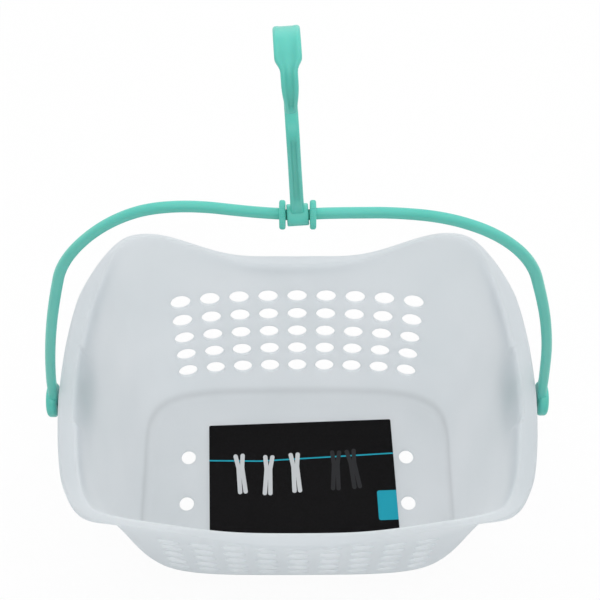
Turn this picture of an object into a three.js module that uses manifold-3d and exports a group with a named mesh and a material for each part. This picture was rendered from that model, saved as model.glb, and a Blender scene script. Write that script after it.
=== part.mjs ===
// A hanging basket for clothes pegs: a thin moulded basket with a wavy rim, a bail that swings on two
// snap pins, a line hook that swings on the middle of the bail, and a plain card lying on the floor.
// Millimetres, +Z up, the origin at the middle of the flat base, and the front towards -Y.
import * as THREE from 'three';
import { mergeVertices } from 'three/addons/utils/BufferGeometryUtils.js';
import Module from 'manifold-3d';

const wasm = await Module();
wasm.setup();

// Driving dimensions of the basket
const baseHalfWidth = 95.3; // the inner wall's upper part carried down to the table
const baseHalfDepth = 64;
const sideFlareShare = 0.156; // growth of the half width for each millimetre of height
const endFlareShare = 0.124; // the same for the half depth
const sideTuck = 2.3; // the wall curves in this much further towards the table
const endTuck = 6.4;
const tuckHeight = 25; // height over which that curve dies away to about a third
const wallThickness = 2;
const outerFootRadius = 7; // rounding between the wall and the flat base
const endCrestHeight = 125.7; // top of the rim in the middle of the front and the back
const lobeCrestHeight = 152.5; // top of the four raised corners
const sideCrestHeight = 136.5;
const sideRimWidth = 9.4; // from the inner edge of the rim to its outer edge
const lobeRimWidth = 3.4;
const endRimWidth = 7.3;
const rimDrop = 1.2; // the rim falls this much towards its outer edge
const rimRounding = 1.1;
const skirtThickness = 1.8;
const sideSkirtDepth = 13; // how far the turned-down lip reaches below the crest
const lobeSkirtDepth = 3.3;
const endSkirtDepth = 6;

// Shares that shape the basket's horizontal outline and the wave of its rim
const footCornerPowerShare = 4.8;
const crestCornerPowerShare = 7.8;
const footBulgeShare = -0.03;
const crestBulgeShare = 0.098;
const bowShare = 0.123;
const lobeAngleShare = 0.869; // radians from the side, on the outline scaled to a square
const lobeEndSpreadShare = 0.27;
const lobeSideSpreadShare = 0.137;
const wallShares = [0, 1 / 6, 1 / 2, 1]; // heights of the wall's rings
const rimNarrowShares = [0.56, 0.9]; // where the broad side rim narrows towards the lobe, in radians
const rimBroadenShares = [1, 1.5]; // where it broadens again towards the middle of the end
const lipShare = 0.6; // most of the rim's overhang that its turned-down lip may fill

// Pivots in the two side skirts
const pivotHeight = 115.5;
const pivotPadHalfLength = 22;
const pivotPadRun = 2; // the pad's end slopes back to the skirt over this length
const pivotPadFallShare = 0.135; // the pad falls away like this round the pivot, under the bail's arms
const pivotPadShift = 1.4; // the wall and the rim's inner edge step outwards over the pad
const pivotPadDrop = 10.5; // the pad reaches this far below the pivot
const pinDiameter = 6;
const pinClearance = 0.3;

// Perforations
const holePitch = 17;
const holeDiameter = 11.5;
const holeColumns = 9;
const holeRows = 5;
const lowestHoleHeight = 29;
const floorHoleDiameter = 9;
const floorHoleHalfSpacing = 15.3;

// Bail
const bailThickness = 5.2; // in the plane of the bail
const bailWidth = 4; // across that plane
const bailArmRadius = 863; // the arms are two long arcs
const bailShoulderRadius = 72.8;
const bailFootAngle = 0.1; // the arm's lean inwards at the pivot, in radians
const bailShoulderAngle = 0.2485; // where the shoulder starts
const bailTopAngle = 1.6748; // where the shoulder ends, past level, so that the top dips to its middle
const bailRimClearance = 1.4; // between the arm and the rim's edge above the pivot
const bailSideGap = 0.3; // between the pad and the end disc
const endDiscDiameter = 18.5;
const endDiscThickness = 5.2;
const endDiscEdge = 1.2;
const armRootWidth = 8; // the arm broadens to this where it joins its end disc
const armRootRun = 26;
const pinBarbGap = 0.9; // between the skirt and the pin's barb
const pinReach = 3.4; // length of the pin's barb behind the skirt
const pinBarbDiameter = 8.2;
const pinTipDiameter = 4.6;
const hookBarDiameter = 4.6;
const stopDiscDiameter = 12.5;
const stopDiscThickness = 2.7;
const stopDiscGap = 10.2;
const stopDiscEdge = 0.8;

// Line hook
const ringWidth = 9.1;
const ringOuterDiameter = 9.4;
const ringClearance = 0.3;
const ringMouth = 3.6; // snap opening under the bar
const hookThickness = 4.4;
const stemWidth = 5.7;
const stemTopWidth = 5.3;
const crownWidth = 9.8;
const tipRootWidth = 6.2; // where the tip leaves the broad crown
const tipWidth = 4.4;
const stemStraight = 42; // from the bar's middle to the start of the bend
const hookBendRadius = 13.3;
const hookBendAngle = Math.PI / 3;
const crownCentreHeight = 92.6;
const crownRadius = 13.3; // to the middle of the section
const tipDrop = 5.2;
const tipRounding = 1.6;
const crownTaperShares = [0.4, 0.7]; // of the crown's radius, in front, where it narrows to the tip
const tipRoundingShares = [[0.6, 0.8], [1, 0.4]]; // of the rounding's length, and of the section left there

// Card
const cardWidth = 115;
const cardDepth = 76;
const cardThickness = 0.5;
const cardTurn = 0.037; // radians
const cardShiftX = 3;
const cardShiftY = 0.6;
const seatGap = 0.3; // clearance of the card above the floor
const cardCorner = 1;

// Bars have rounded sections, of which this share of each half size stays flat
const barFlatShare = 0.55;

// Fineness
const columnsPerQuarter = 15;
const columnTurnLength = 60; // a radian of turn counts as this much length when the columns are spaced
const searchSteps = 40;
const roundSides = 20;
const holeSides = 8;
const arcSteps = 6;
const shoulderSteps = 12;
const armSteps = 6;
const overrun = 4; // cuts run this far past what they cut

const half = (length) => length / 2;
const lerp = THREE.MathUtils.lerp;
const smooth = THREE.MathUtils.smoothstep;

// Solids
function solidOf(geometry) {
  const bare = geometry.clone();
  bare.deleteAttribute('normal');
  bare.deleteAttribute('uv');
  const merged = mergeVertices(bare);
  return new wasm.Manifold(new wasm.Mesh({
    numProp: 3,
    vertProperties: Float32Array.from(merged.attributes.position.array),
    triVerts: Uint32Array.from(merged.index.array),
  }));
}

function meshOf(name, solid, material) {
  const { vertProperties, triVerts } = solid.getMesh();
  const geometry = new THREE.BufferGeometry();
  geometry.setAttribute('position', new THREE.BufferAttribute(vertProperties, 3));
  geometry.setIndex(new THREE.BufferAttribute(triVerts, 1));
  geometry.computeVertexNormals();
  const mesh = new THREE.Mesh(geometry, material);
  mesh.name = name;
  return mesh;
}

// A closed skin over rings of equally many points; the first and last ring close on their middles.
function loft(rings) {
  const count = rings[0].length;
  const positions = rings.flat().flatMap((point) => point.toArray());
  const index = [];
  for (let ring = 0; ring + 1 < rings.length; ring += 1) {
    for (let side = 0; side < count; side += 1) {
      const a = ring * count + side;
      const b = ring * count + ((side + 1) % count);
      index.push(a, b, b + count, a, b + count, a + count);
    }
  }
  const middle = (ring) => {
    const sum = ring.reduce((total, point) => total.add(point), new THREE.Vector3());
    return sum.divideScalar(count);
  };
  const caps = [rings[0], rings[rings.length - 1]];
  caps.forEach((ring, cap) => {
    const centre = positions.length / 3;
    positions.push(...middle(ring).toArray());
    const start = cap === 0 ? 0 : (rings.length - 1) * count;
    for (let side = 0; side < count; side += 1) {
      const a = start + side;
      const b = start + ((side + 1) % count);
      index.push(...(cap === 0 ? [centre, b, a] : [centre, a, b]));
    }
  });
  const geometry = new THREE.BufferGeometry();
  geometry.setAttribute('position', new THREE.Float32BufferAttribute(positions, 3));
  geometry.setIndex(index);
  return geometry;
}

// A round bar along X with rounded edges, from one end to the other, at a height.
function discAlongX(start, end, diameter, edge, height = 0) {
  const length = end - start;
  const radius = half(diameter);
  const profile = [
    new THREE.Vector2(0, 0),
    new THREE.Vector2(radius - edge, 0),
    new THREE.Vector2(radius, edge),
    new THREE.Vector2(radius, length - edge),
    new THREE.Vector2(radius - edge, length),
    new THREE.Vector2(0, length),
  ];
  const geometry = new THREE.LatheGeometry(profile, roundSides);
  geometry.rotateZ(-half(Math.PI));
  geometry.translate(start, 0, height);
  return geometry;
}

// The same body on the other side of the middle plane
function mirrored(geometry) {
  const twin = mergeVertices(geometry.clone().deleteAttribute('normal').deleteAttribute('uv'));
  twin.scale(-1, 1, 1);
  twin.setIndex(Array.from(twin.index.array).reverse());
  return twin;
}

// How far a bail arm has leaned in at a height above its pivot
function armLean(rise) {
  const turned = Math.asin(Math.sin(bailFootAngle) + rise / bailArmRadius);
  return bailArmRadius * (Math.cos(bailFootAngle) - Math.cos(turned));
}

// The arms pass the rim's edge, and the pads' faces lie just inside them
const rimEdgeAtPivot = planPoint(0, sideCrestHeight, sideCrestHeight, sideRimWidth).x;
const bailInnerFace = rimEdgeAtPivot + armLean(sideCrestHeight - pivotHeight) + bailRimClearance;
const pivotPadFace = bailInnerFace - bailSideGap; // distance from the middle, at the pivot

// Basket: the horizontal outline at a height, pushed outwards by an offset
function planPoint(angle, height, crest, offset) {
  const rise = height / crest;
  const power = lerp(footCornerPowerShare, crestCornerPowerShare, rise);
  const tuck = Math.exp(-height / tuckHeight);
  const halfWidth = baseHalfWidth + sideFlareShare * height - sideTuck * tuck;
  const halfDepth = baseHalfDepth + endFlareShare * height - endTuck * tuck;
  const c = Math.cos(angle);
  const s = Math.sin(angle);
  const reach = (Math.abs(c) ** power + Math.abs(s) ** power) ** (-1 / power);
  const bulge = lerp(footBulgeShare, crestBulgeShare, rise);
  const bow = bowShare * Math.sin(Math.PI * Math.min(rise, 1));
  const shareX = c * reach;
  const shareY = s * reach;
  const x = halfWidth * shareX * (1 - bulge * shareY ** 2);
  const y = halfDepth * shareY * (1 - bow * shareX ** 2);
  const towards = new THREE.Vector2(
    Math.sign(c) * Math.abs(shareX) ** (power - 1) / halfWidth,
    Math.sign(s) * Math.abs(shareY) ** (power - 1) / halfDepth,
  ).normalize();
  return new THREE.Vector2(x, y).addScaledVector(towards, offset);
}

function foldedAngle(angle) {
  return Math.atan2(Math.abs(Math.sin(angle)), Math.abs(Math.cos(angle)));
}

function crestHeight(angle) {
  const away = foldedAngle(angle) - lobeAngleShare;
  const base = away > 0 ? endCrestHeight : sideCrestHeight;
  const spread = away > 0 ? lobeEndSpreadShare : lobeSideSpreadShare;
  return base + (lobeCrestHeight - base) * Math.exp(-((away / spread) ** 2));
}

// Angles of the columns in the first quarter, mirrored into the other three. They stand closer where the
// outline turns, and one stands at each end of a pivot pad.
function columnAngles() {
  const steps = columnsPerQuarter * searchSteps;
  const quarter = Array.from({ length: steps + 1 }, (_, step) => half(Math.PI) * step / steps);
  const points = quarter.map((t) => planPoint(t, sideCrestHeight, sideCrestHeight, 0));
  const headings = points.map((point, step) => {
    const [before, after] = [points[Math.max(step - 1, 0)], points[Math.min(step + 1, steps)]];
    return after.clone().sub(before).angle();
  });
  const lengths = [0];
  const measures = [0];
  for (let step = 1; step <= steps; step += 1) {
    const run = points[step].distanceTo(points[step - 1]);
    lengths.push(lengths[step - 1] + run);
    const turn = Math.abs(headings[step] - headings[step - 1]);
    measures.push(measures[step - 1] + run + columnTurnLength * turn);
  }
  const even = Array.from({ length: columnsPerQuarter }, (_, column) => {
    const target = measures[steps] * column / columnsPerQuarter;
    return quarter[measures.findIndex((measure) => measure >= target)];
  });
  const padEnds = [pivotPadHalfLength, pivotPadHalfLength + pivotPadRun];
  const ends = padEnds.map((end) => quarter[lengths.findIndex((length) => length >= end)]);
  const first = [...even, ...ends].sort((a, b) => a - b);
  const second = first.slice(1).map((t) => Math.PI - t).reverse();
  const upper = [...first, half(Math.PI), ...second];
  return [...upper, ...upper.map((t) => t + Math.PI)];
}

// A size of the rim at an angle, from its values at the side, on the lobe and in the middle of the end
function alongRim(angle, side, lobe, end) {
  const folded = foldedAngle(angle);
  const narrowed = lerp(side, lobe, smooth(folded, ...rimNarrowShares));
  return lerp(narrowed, end, smooth(folded, ...rimBroadenShares));
}

// The section of the basket in one column, from the middle of the base's underside round to the floor
function shellSection(angle) {
  const crest = crestHeight(angle);
  const rimWidth = alongRim(angle, sideRimWidth, lobeRimWidth, endRimWidth);
  const lipThickness = Math.min(skirtThickness, lipShare * (rimWidth - wallThickness));
  const inner = (height, offset = 0) => planPoint(angle, height, crest, offset);
  const at = (plan, height) => new THREE.Vector3(plan.x, plan.y, height);
  const rimTop = crest - rimDrop;

  // The pad round each pivot stands out to its face and falls away in a shallow cone
  const plainEdge = inner(crest, rimWidth);
  const padShare = 1 - smooth(Math.abs(plainEdge.y), pivotPadHalfLength, pivotPadHalfLength + pivotPadRun);
  const facing = Math.abs(Math.cos(angle)) > Math.abs(Math.sin(angle)) ? Math.sign(Math.cos(angle)) : 0;
  const onPad = facing === 0 ? 0 : padShare;
  const edge = (inset, height) => {
    const plan = inner(crest, rimWidth - inset);
    const fromPivot = Math.hypot(plan.y, height - pivotHeight);
    const face = pivotPadFace - pivotPadFallShare * fromPivot - inset;
    const x = lerp(plan.x, facing * Math.max(face, Math.abs(plan.x)), onPad);
    return at(new THREE.Vector2(x, plan.y), height);
  };
  const underRim = rimTop - skirtThickness;
  const skirtDepth = alongRim(angle, sideSkirtDepth, lobeSkirtDepth, endSkirtDepth);
  const skirtBottom = lerp(crest - skirtDepth, pivotHeight - pivotPadDrop, onPad);
  const innerMiddle = lerp(half(skirtBottom + underRim), pivotHeight, onPad);
  const outerMiddle = lerp(half(skirtBottom + rimTop - rimRounding), pivotHeight, onPad);

  const footAngles = [0, Math.PI / 6, Math.PI / 3];
  const outerFoot = footAngles.map((t) => {
    const height = outerFootRadius * (1 - Math.cos(t));
    const offset = wallThickness - outerFootRadius * (1 - Math.sin(t));
    return at(inner(outerFootRadius, offset), height);
  });
  const innerFootRadius = outerFootRadius - wallThickness;
  const innerFoot = footAngles.map((t) => {
    const height = wallThickness + innerFootRadius * (1 - Math.cos(t));
    return at(inner(outerFootRadius, -innerFootRadius * (1 - Math.sin(t))), height);
  });
  const shift = pivotPadShift * onPad;
  const wall = (top, offset) => wallShares.map((share) => {
    const height = lerp(outerFootRadius, top, share);
    return at(inner(height, offset + (share === 1 ? shift : 0)), height);
  });
  const outerWall = wall(underRim, wallThickness);
  const innerWall = wall(crest - rimRounding, 0);
  const lip = [
    edge(lipThickness, underRim),
    edge(lipThickness, innerMiddle),
    edge(lipThickness, skirtBottom),
    edge(0, skirtBottom),
    edge(0, outerMiddle),
    edge(0, rimTop - rimRounding),
    edge(rimRounding, rimTop),
    at(inner(crest, rimRounding + shift), crest),
  ];
  return [...outerFoot, ...outerWall, ...lip, ...innerWall.reverse(), ...innerFoot.reverse()];
}

function shellBody() {
  const columns = columnAngles().map((angle) => shellSection(angle));
  const rings = columns[0].map((_, level) => columns.map((column) => column[level]));
  return solidOf(loft(rings));
}

// Where the wall's mid surface stands at a distance along X, found by halving
function wallDepth(x, height) {
  let [low, high] = [0, half(Math.PI)];
  for (let halving = 0; halving < searchSteps; halving += 1) {
    const middle = half(low + high);
    const reach = planPoint(middle, height, crestHeight(middle), half(wallThickness)).x;
    [low, high] = reach > x ? [middle, high] : [low, middle];
  }
  return planPoint(low, height, crestHeight(low), half(wallThickness)).y;
}

function prism(diameter, length, sides) {
  const geometry = new THREE.CylinderGeometry(half(diameter), half(diameter), length, sides);
  geometry.rotateY(Math.PI / sides);
  return geometry;
}

function wallHoles() {
  const cuts = [];
  const columnsBeside = (holeColumns - 1) / 2;
  const length = wallThickness + 2 * overrun;
  for (let row = 0; row < holeRows; row += 1) {
    const height = lowestHoleHeight + row * holePitch / Math.hypot(1, endFlareShare);
    for (let column = -columnsBeside; column <= columnsBeside; column += 1) {
      const x = column * holePitch;
      const depth = wallDepth(Math.abs(x), height);
      const beside = wallDepth(Math.abs(x) + half(holeDiameter), height);
      const slope = Math.sign(x) * (depth - beside) / half(holeDiameter);
      const above = wallDepth(Math.abs(x), height + half(holeDiameter));
      const flare = (above - depth) / half(holeDiameter);
      for (const end of [-1, 1]) {
        const normal = new THREE.Vector3(slope, end, -flare).normalize();
        const turned = new THREE.Quaternion().setFromUnitVectors(new THREE.Vector3(0, 1, 0), normal);
        const geometry = prism(holeDiameter, length, holeSides);
        geometry.applyQuaternion(turned);
        geometry.translate(x, end * depth, height);
        cuts.push(solidOf(geometry));
      }
    }
  }
  return cuts;
}

function floorHoles() {
  const cuts = [];
  const x = holePitch * (holeColumns - 1) / 2;
  for (const side of [-1, 1]) {
    for (const end of [-1, 1]) {
      const geometry = prism(floorHoleDiameter, wallThickness + 2 * overrun, holeSides);
      geometry.rotateX(half(Math.PI));
      geometry.translate(side * x, end * floorHoleHalfSpacing, half(wallThickness));
      cuts.push(solidOf(geometry));
    }
  }
  return cuts;
}

function pivotHoles() {
  return [-1, 1].map((side) => {
    const geometry = prism(pinDiameter + 2 * pinClearance, skirtThickness + 2 * pinReach, roundSides);
    geometry.rotateZ(half(Math.PI));
    geometry.translate(side * (pivotPadFace - half(skirtThickness)), 0, pivotHeight);
    return solidOf(geometry);
  });
}

function basketShell() {
  const cuts = [...wallHoles(), ...floorHoles(), ...pivotHoles()];
  return cuts.reduce((solid, cut) => solid.subtract(cut), shellBody());
}

// A bar of rounded section swept along a path in a plane. Each station gives its place, the direction
// across the bar in that plane, and the two sizes of the section.
function sweep(stations, sidewaysAxis) {
  const quarter = [[1, barFlatShare], [barFlatShare, 1]];
  const upper = [...quarter, ...quarter.map(([u, v]) => [-u, v]).reverse()];
  const outline = [...upper, ...upper.map(([u, v]) => [-u, -v])];
  return loft(stations.map(({ place, across, thickness, width }) => outline.map(([u, v]) => {
    const corner = place.clone().addScaledVector(across, u * half(thickness));
    return corner.addScaledVector(sidewaysAxis, v * half(width));
  })));
}

const bailPlaneX = bailInnerFace + half(endDiscThickness); // middle of the end disc

// Half of the bail's middle line, from the pivot to the middle of the top bar: distance out, and height
function bailHalfLine() {
  const points = [new THREE.Vector2(bailPlaneX, 0)];
  const arc = (radius, from, to, steps) => {
    const start = points[points.length - 1];
    for (let step = 1; step <= steps; step += 1) {
      const turned = lerp(from, to, step / steps);
      const across = radius * (Math.cos(turned) - Math.cos(from));
      const up = radius * (Math.sin(turned) - Math.sin(from));
      points.push(new THREE.Vector2(start.x + across, start.y + up));
    }
  };
  arc(bailArmRadius, bailFootAngle, bailShoulderAngle, armSteps);
  arc(bailShoulderRadius, bailShoulderAngle, bailTopAngle, shoulderSteps);
  const end = points[points.length - 1];
  points.push(new THREE.Vector2(0, end.y + end.x / Math.tan(bailTopAngle)));
  return points;
}

const bailLine = bailHalfLine();
const bailTopHeight = bailLine[bailLine.length - 1].y; // middle of the top bar above the pivots

function bailHandle() {
  const stopInner = half(stopDiscGap);
  const barHalf = stopInner + half(stopDiscThickness);
  const [dipStart, dipEnd] = bailLine.slice(-2);
  const line = [...bailLine.slice(0, -1), dipStart.clone().lerp(dipEnd, 1 - barHalf / dipStart.x)];
  const stations = line.map((point, step) => {
    const before = line[Math.max(step - 1, 0)];
    const after = line[Math.min(step + 1, line.length - 1)];
    const along = after.clone().sub(before).normalize();
    const fromPivot = Math.hypot(point.x - bailPlaneX, point.y);
    return {
      place: new THREE.Vector3(point.x, 0, point.y),
      across: new THREE.Vector3(along.y, 0, -along.x),
      thickness: bailThickness,
      width: lerp(armRootWidth, bailWidth, smooth(fromPivot, 0, armRootRun)),
    };
  });
  const arm = sweep(stations, new THREE.Vector3(0, 1, 0));
  const discInner = bailPlaneX - half(endDiscThickness);
  const disc = discAlongX(discInner, discInner + endDiscThickness, endDiscDiameter, endDiscEdge);
  const barbStart = pivotPadFace - skirtThickness - pinBarbGap;
  const barbTip = barbStart - pinReach;
  const pinProfile = [
    new THREE.Vector2(0, barbTip),
    new THREE.Vector2(half(pinTipDiameter), barbTip),
    new THREE.Vector2(half(pinBarbDiameter), barbStart - half(pinReach) / 2),
    new THREE.Vector2(half(pinBarbDiameter), barbStart),
    new THREE.Vector2(half(pinDiameter), barbStart),
    new THREE.Vector2(half(pinDiameter), bailPlaneX),
    new THREE.Vector2(0, bailPlaneX),
  ];
  const pin = new THREE.LatheGeometry(pinProfile, roundSides);
  pin.rotateZ(-half(Math.PI));
  const stopOuter = stopInner + stopDiscThickness;
  const stop = discAlongX(stopInner, stopOuter, stopDiscDiameter, stopDiscEdge, bailTopHeight);
  const bar = solidOf(discAlongX(-barHalf, barHalf, hookBarDiameter, seatGap, bailTopHeight));
  const halves = [arm, disc, pin, stop].flatMap((body) => [body, mirrored(body)]);
  return halves.reduce((solid, body) => solid.add(solidOf(body)), bar);
}

// The hook's middle line seen from the side: distance to the back, and height above the bar
function hookLine() {
  const stem = new THREE.Path();
  stem.moveTo(0, half(ringOuterDiameter) - half(hookThickness));
  stem.lineTo(0, stemStraight);
  stem.absarc(hookBendRadius, stemStraight, hookBendRadius, Math.PI, Math.PI - hookBendAngle, true);
  const shift = hookBendRadius * (1 - Math.cos(hookBendAngle));
  const climb = hookBendRadius * Math.sin(hookBendAngle);
  const endX = 2 * shift - hookBendRadius;
  stem.absarc(endX, stemStraight + 2 * climb, hookBendRadius, -hookBendAngle, 0, false);
  stem.lineTo(crownRadius, crownCentreHeight);
  stem.absarc(0, crownCentreHeight, crownRadius, 0, Math.PI, false);
  stem.lineTo(-crownRadius, crownCentreHeight - tipDrop);
  const points = stem.getPoints(arcSteps);
  return points.filter((point, step) => step === 0 || point.distanceTo(points[step - 1]) > seatGap);
}

// The hook is broad over the crown and its back, and narrows in front to the tip
function hookWidth(point) {
  const tipEnd = crownCentreHeight - tipDrop;
  const [taperStart, taperEnd] = crownTaperShares.map((share) => share * crownRadius);
  if (point.x < 0) {
    const rise = smooth(point.y, tipEnd, crownCentreHeight + half(crownRadius));
    const tip = lerp(tipWidth, tipRootWidth, rise);
    return lerp(crownWidth, tip, smooth(-point.x, taperStart, taperEnd));
  }
  const stem = lerp(stemWidth, stemTopWidth, smooth(point.y, 0, stemStraight));
  return lerp(stem, crownWidth, smooth(point.y, crownCentreHeight - crownRadius, crownCentreHeight));
}

function hangingHook() {
  const line = hookLine();
  const stations = line.map((point, step) => {
    const before = line[Math.max(step - 1, 0)];
    const after = line[Math.min(step + 1, line.length - 1)];
    const along = after.clone().sub(before).normalize();
    return {
      place: new THREE.Vector3(0, point.x, point.y),
      across: new THREE.Vector3(0, along.y, -along.x),
      thickness: hookThickness,
      width: hookWidth(point),
    };
  });
  const last = stations[stations.length - 1];
  const rounding = tipRoundingShares.map(([reach, left]) => ({
    ...last,
    place: last.place.clone().add(new THREE.Vector3(0, 0, -reach * tipRounding)),
    thickness: left * hookThickness,
    width: left * tipWidth,
  }));
  const body = sweep([...stations, ...rounding], new THREE.Vector3(-1, 0, 0));

  // The ring is a clip: it is snapped over the bar through the mouth below
  const outer = half(ringOuterDiameter);
  const inner = half(hookBarDiameter) + ringClearance;
  const mouthOuter = Math.asin(half(ringMouth) / outer);
  const mouthInner = Math.asin(half(ringMouth) / inner);
  const down = -half(Math.PI);
  const clip = new THREE.Shape();
  clip.absarc(0, 0, outer, down + mouthOuter, down - mouthOuter + 2 * Math.PI, false);
  clip.absarc(0, 0, inner, down - mouthInner + 2 * Math.PI, down + mouthInner, true);
  clip.closePath();
  const ring = new THREE.ExtrudeGeometry(clip, {
    depth: ringWidth,
    bevelEnabled: false,
    curveSegments: half(roundSides),
  });
  ring.translate(0, 0, -half(ringWidth));
  ring.rotateY(half(Math.PI)).rotateX(half(Math.PI));
  const clearance = discAlongX(-ringWidth, ringWidth, 2 * inner, seatGap);
  return solidOf(body).subtract(solidOf(clearance)).add(solidOf(ring));
}

function labelCard() {
  const outline = new THREE.Shape();
  const [w, d] = [half(cardWidth), half(cardDepth)];
  outline.moveTo(-w + cardCorner, -d);
  outline.lineTo(w - cardCorner, -d);
  outline.lineTo(w, -d + cardCorner);
  outline.lineTo(w, d - cardCorner);
  outline.lineTo(w - cardCorner, d);
  outline.lineTo(-w + cardCorner, d);
  outline.lineTo(-w, d - cardCorner);
  outline.lineTo(-w, -d + cardCorner);
  outline.closePath();
  return solidOf(new THREE.ExtrudeGeometry(outline, { depth: cardThickness, bevelEnabled: false }));
}

const clearPlastic = new THREE.MeshStandardMaterial({ color: 0xdde4e8, roughness: 0.38, metalness: 0 });
const turquoisePlastic = new THREE.MeshStandardMaterial({ color: 0x5cc8b8, roughness: 0.35, metalness: 0 });
const blackCard = new THREE.MeshStandardMaterial({ color: 0x111214, roughness: 0.5, metalness: 0 });

const basket = new THREE.Group();
basket.add(meshOf('basket_shell', basketShell(), clearPlastic));

const bail = new THREE.Group();
bail.position.set(0, 0, pivotHeight);
bail.add(meshOf('bail_handle', bailHandle(), turquoisePlastic));
basket.add(bail);

const hook = new THREE.Group();
hook.position.set(0, 0, bailTopHeight);
hook.add(meshOf('hanging_hook', hangingHook(), turquoisePlastic));
bail.add(hook);

const card = meshOf('label_card', labelCard(), blackCard);
card.position.set(cardShiftX, cardShiftY, wallThickness + seatGap);
card.rotation.z = cardTurn;
basket.add(card);

export default basket;
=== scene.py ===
import math

import bpy
import numpy as np
from mathutils import Matrix, Vector
from mathutils.geometry import delaunay_2d_cdt


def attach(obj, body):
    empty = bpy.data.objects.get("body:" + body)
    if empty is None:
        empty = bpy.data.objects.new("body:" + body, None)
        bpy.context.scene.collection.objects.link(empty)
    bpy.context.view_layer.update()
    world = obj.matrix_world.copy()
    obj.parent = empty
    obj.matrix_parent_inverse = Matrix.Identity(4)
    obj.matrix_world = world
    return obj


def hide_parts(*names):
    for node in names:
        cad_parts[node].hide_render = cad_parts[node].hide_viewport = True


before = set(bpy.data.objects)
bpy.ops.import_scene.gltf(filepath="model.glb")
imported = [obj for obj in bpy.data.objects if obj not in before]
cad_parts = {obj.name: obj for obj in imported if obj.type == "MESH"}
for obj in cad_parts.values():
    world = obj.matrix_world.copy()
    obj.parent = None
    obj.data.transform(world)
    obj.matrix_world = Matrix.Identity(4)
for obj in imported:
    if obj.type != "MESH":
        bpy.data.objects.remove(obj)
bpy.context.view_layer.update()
MM = 0.001

# Basket sizes, the same as the solid's. The pads are on its sides, and its ends have the rows of holes.
BASE_X, BASE_Y = 95.3, 64.0  # half sizes of the inner wall's upper part, carried down to the table
SIDE_FLARE, END_FLARE = 0.156, 0.124
SIDE_TUCK, END_TUCK, TUCK_HEIGHT = 2.3, 6.4, 25.0
FOOT_POWER, CREST_POWER = 4.8, 7.8
FOOT_BULGE, CREST_BULGE, BOW = -0.03, 0.098, 0.123
WALL, FOOT = 2.0, 7.0
END_CREST, LOBE_CREST, SIDE_CREST = 125.7, 152.5, 136.5
LOBE_AT, LOBE_TO_END, LOBE_TO_SIDE = 0.869, 0.27, 0.137
SIDE_RIM, LOBE_RIM, END_RIM = 9.4, 3.4, 7.3
SIDE_SKIRT, LOBE_SKIRT, END_SKIRT = 13.0, 3.3, 6.0
RIM_NARROWS, RIM_BROADENS = (0.56, 0.9), (1.0, 1.5)
RIM_DROP, SKIRT, LIP_SHARE = 1.2, 1.8, 0.6
PIVOT = 115.5
PAD_HALF, PAD_FALL, PAD_SHIFT, PAD_DROP = 22.0, 0.135, 1.4, 10.5
PIN, PIN_GAP = 6.0, 0.3
PITCH, HOLE, COLUMNS, ROWS, LOWEST = 17.0, 11.5, 9, 5, 29.0
FLOOR_HOLE, FLOOR_HOLE_Y = 9.0, 15.3

# Basket edges, finer than the solid's
UNDER_ROUND, LIP_ROUND, FACE_ROUND, CREST_ROUND = 1.5, 1.2, 2.2, 1.2  # the rim's roundings
ROUND_SHARE, CREST_ROUND_SHARE = 0.45, 0.4  # the most that they take where there is little room
PAD_BLEND = (-0.2, 1.2)  # a pad's face ends between these distances from its end
PAD_FADE_HIGH, PAD_FADE_LOW = 1.5, 9.0  # and fades into the rim between these depths under the rim's top
PAD_SHIFT_START = 3.0  # the wall behind a pad moves out from this far under the pivot
HOLE_EDGE = ((1.4, 0), (0.45, 0), (0.23, 0.07), (0.07, 0.22), (0, 0.45))  # steps out from it, and inwards
PIN_HOLE_RINGS = (1.0, 0.0)  # distances out from the pin's hole
FLOOR_EDGE, FLOOR_SPACING, FLOOR_HOLE_SIDES = 0.45, 8.0, 32

# Bail sizes, the solid's apart from the section, the roundings and the teeth
ARM_RADIUS, SHOULDER_RADIUS = 863.0, 72.8
FOOT_ANGLE, SHOULDER_ANGLE, TOP_ANGLE = 0.1, 0.2485, 1.6748
RIM_GAP, SIDE_GAP = 1.4, 0.3
BAIL_THICK, BAIL_WIDE, BAIL_CORNER = 5.0, 4.2, 1.75
ROOT_WIDE, ROOT_START, ROOT_RUN = 8.0, 3.0, 26.0
ARM_ROOT_THICK, ARM_SET_IN = 4.4, 0.5  # the arm's root is thinner, and stands this much further in
END_DISC, END_DISC_THICK, END_DISC_ROUND = 18.5, 5.2, 1.7
BARB, BARB_TIP, BARB_GAP, BARB_REACH = 8.2, 4.6, 0.9, 3.4
TIP_SHARES = ((1.0, 0.6), (0.95, 0.9), (0.88, 1.0))  # of the barb's reach, and of its tip's radius
BARB_SHARES = ((0.28, 0.97), (0.15, 1.0), (0.05, 0.98), (0.0, 0.93))  # of its reach, and of its own radius
BAR, BAR_EDGE = 4.6, 0.3
STOP_DISC, STOP_THICK, STOP_ROUND, STOP_GAP = 12.5, 2.7, 1.0, 10.2
STOP_TEETH, TOOTH = 45, 0.3
BAR_SIDES, DISC_SIDES, TOOTH_SIDES, CORNER_STEPS = 48, 72, 6, 6
ARM_STEPS, SHOULDER_STEPS, TOP_STEPS = 60, 70, 16

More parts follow.
